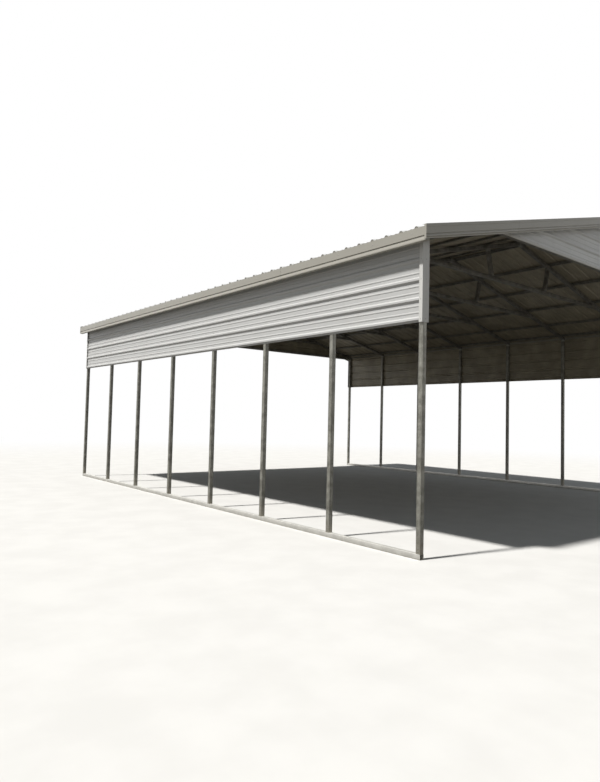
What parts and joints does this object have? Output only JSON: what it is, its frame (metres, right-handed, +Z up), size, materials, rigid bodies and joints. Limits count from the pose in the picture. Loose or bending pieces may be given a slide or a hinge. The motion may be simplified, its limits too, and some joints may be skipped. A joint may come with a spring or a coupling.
{
  "type": "open steel carport",
  "caption": "Open-frame steel tube carport with a ribbed A-frame roof, gable sheets and a short sheet under each eave.",
  "frame": {"origin": "middle of the footprint at ground level, which is the bottom centre of the bounding box", "axes": "+Z up, +Y along the length from the open front to the back gable, +X to the right seen from the front"},
  "size_m": [9.4578, 11.0354, 4.9211],
  "materials": {
    "galvanised_tube": "dull mottled zinc",
    "galvanised_strip": "dull zinc",
    "roof_sheeting": "satin factory paint",
    "wall_sheeting": "satin factory paint",
    "trim": "satin factory paint"
  },
  "bodies": {
    "root": {"base_rail_left": "galvanised_tube", "base_rail_right": "galvanised_tube", "corner_trim_back_left": "trim", "corner_trim_back_right": "trim", "corner_trim_front_left": "trim", "corner_trim_front_right": "trim", "eave_trim_left": "trim", "eave_trim_right": "trim", "gable_sheet_back": "wall_sheeting", "gable_sheet_front": "wall_sheeting", "gable_trim_back": "trim", "gable_trim_front": "trim", "post_left_1": "galvanised_tube", "post_left_2": "galvanised_tube", "post_left_3": "galvanised_tube", "post_left_4": "galvanised_tube", "post_left_5": "galvanised_tube", "post_left_6": "galvanised_tube", "post_left_7": "galvanised_tube", "post_left_8": "galvanised_tube", "post_right_1": "galvanised_tube", "post_right_2": "galvanised_tube", "post_right_3": "galvanised_tube", "post_right_4": "galvanised_tube", "post_right_5": "galvanised_tube", "post_right_6": "galvanised_tube", "post_right_7": "galvanised_tube", "post_right_8": "galvanised_tube", "purlins_left": "galvanised_strip", "purlins_right": "galvanised_strip", "rake_trim_back": "trim", "rake_trim_front": "trim", "ridge_cap": "trim", "roof_sheet_left": "roof_sheeting", "roof_sheet_right": "roof_sheeting", "side_panel_left": "wall_sheeting", "side_panel_right": "wall_sheeting", "truss_1": "galvanised_tube", "truss_2": "galvanised_tube", "truss_3": "galvanised_tube", "truss_4": "galvanised_tube", "truss_5": "galvanised_tube", "truss_6": "galvanised_tube", "truss_7": "galvanised_tube", "truss_8": "galvanised_tube"}
  },
  "joints": []
}
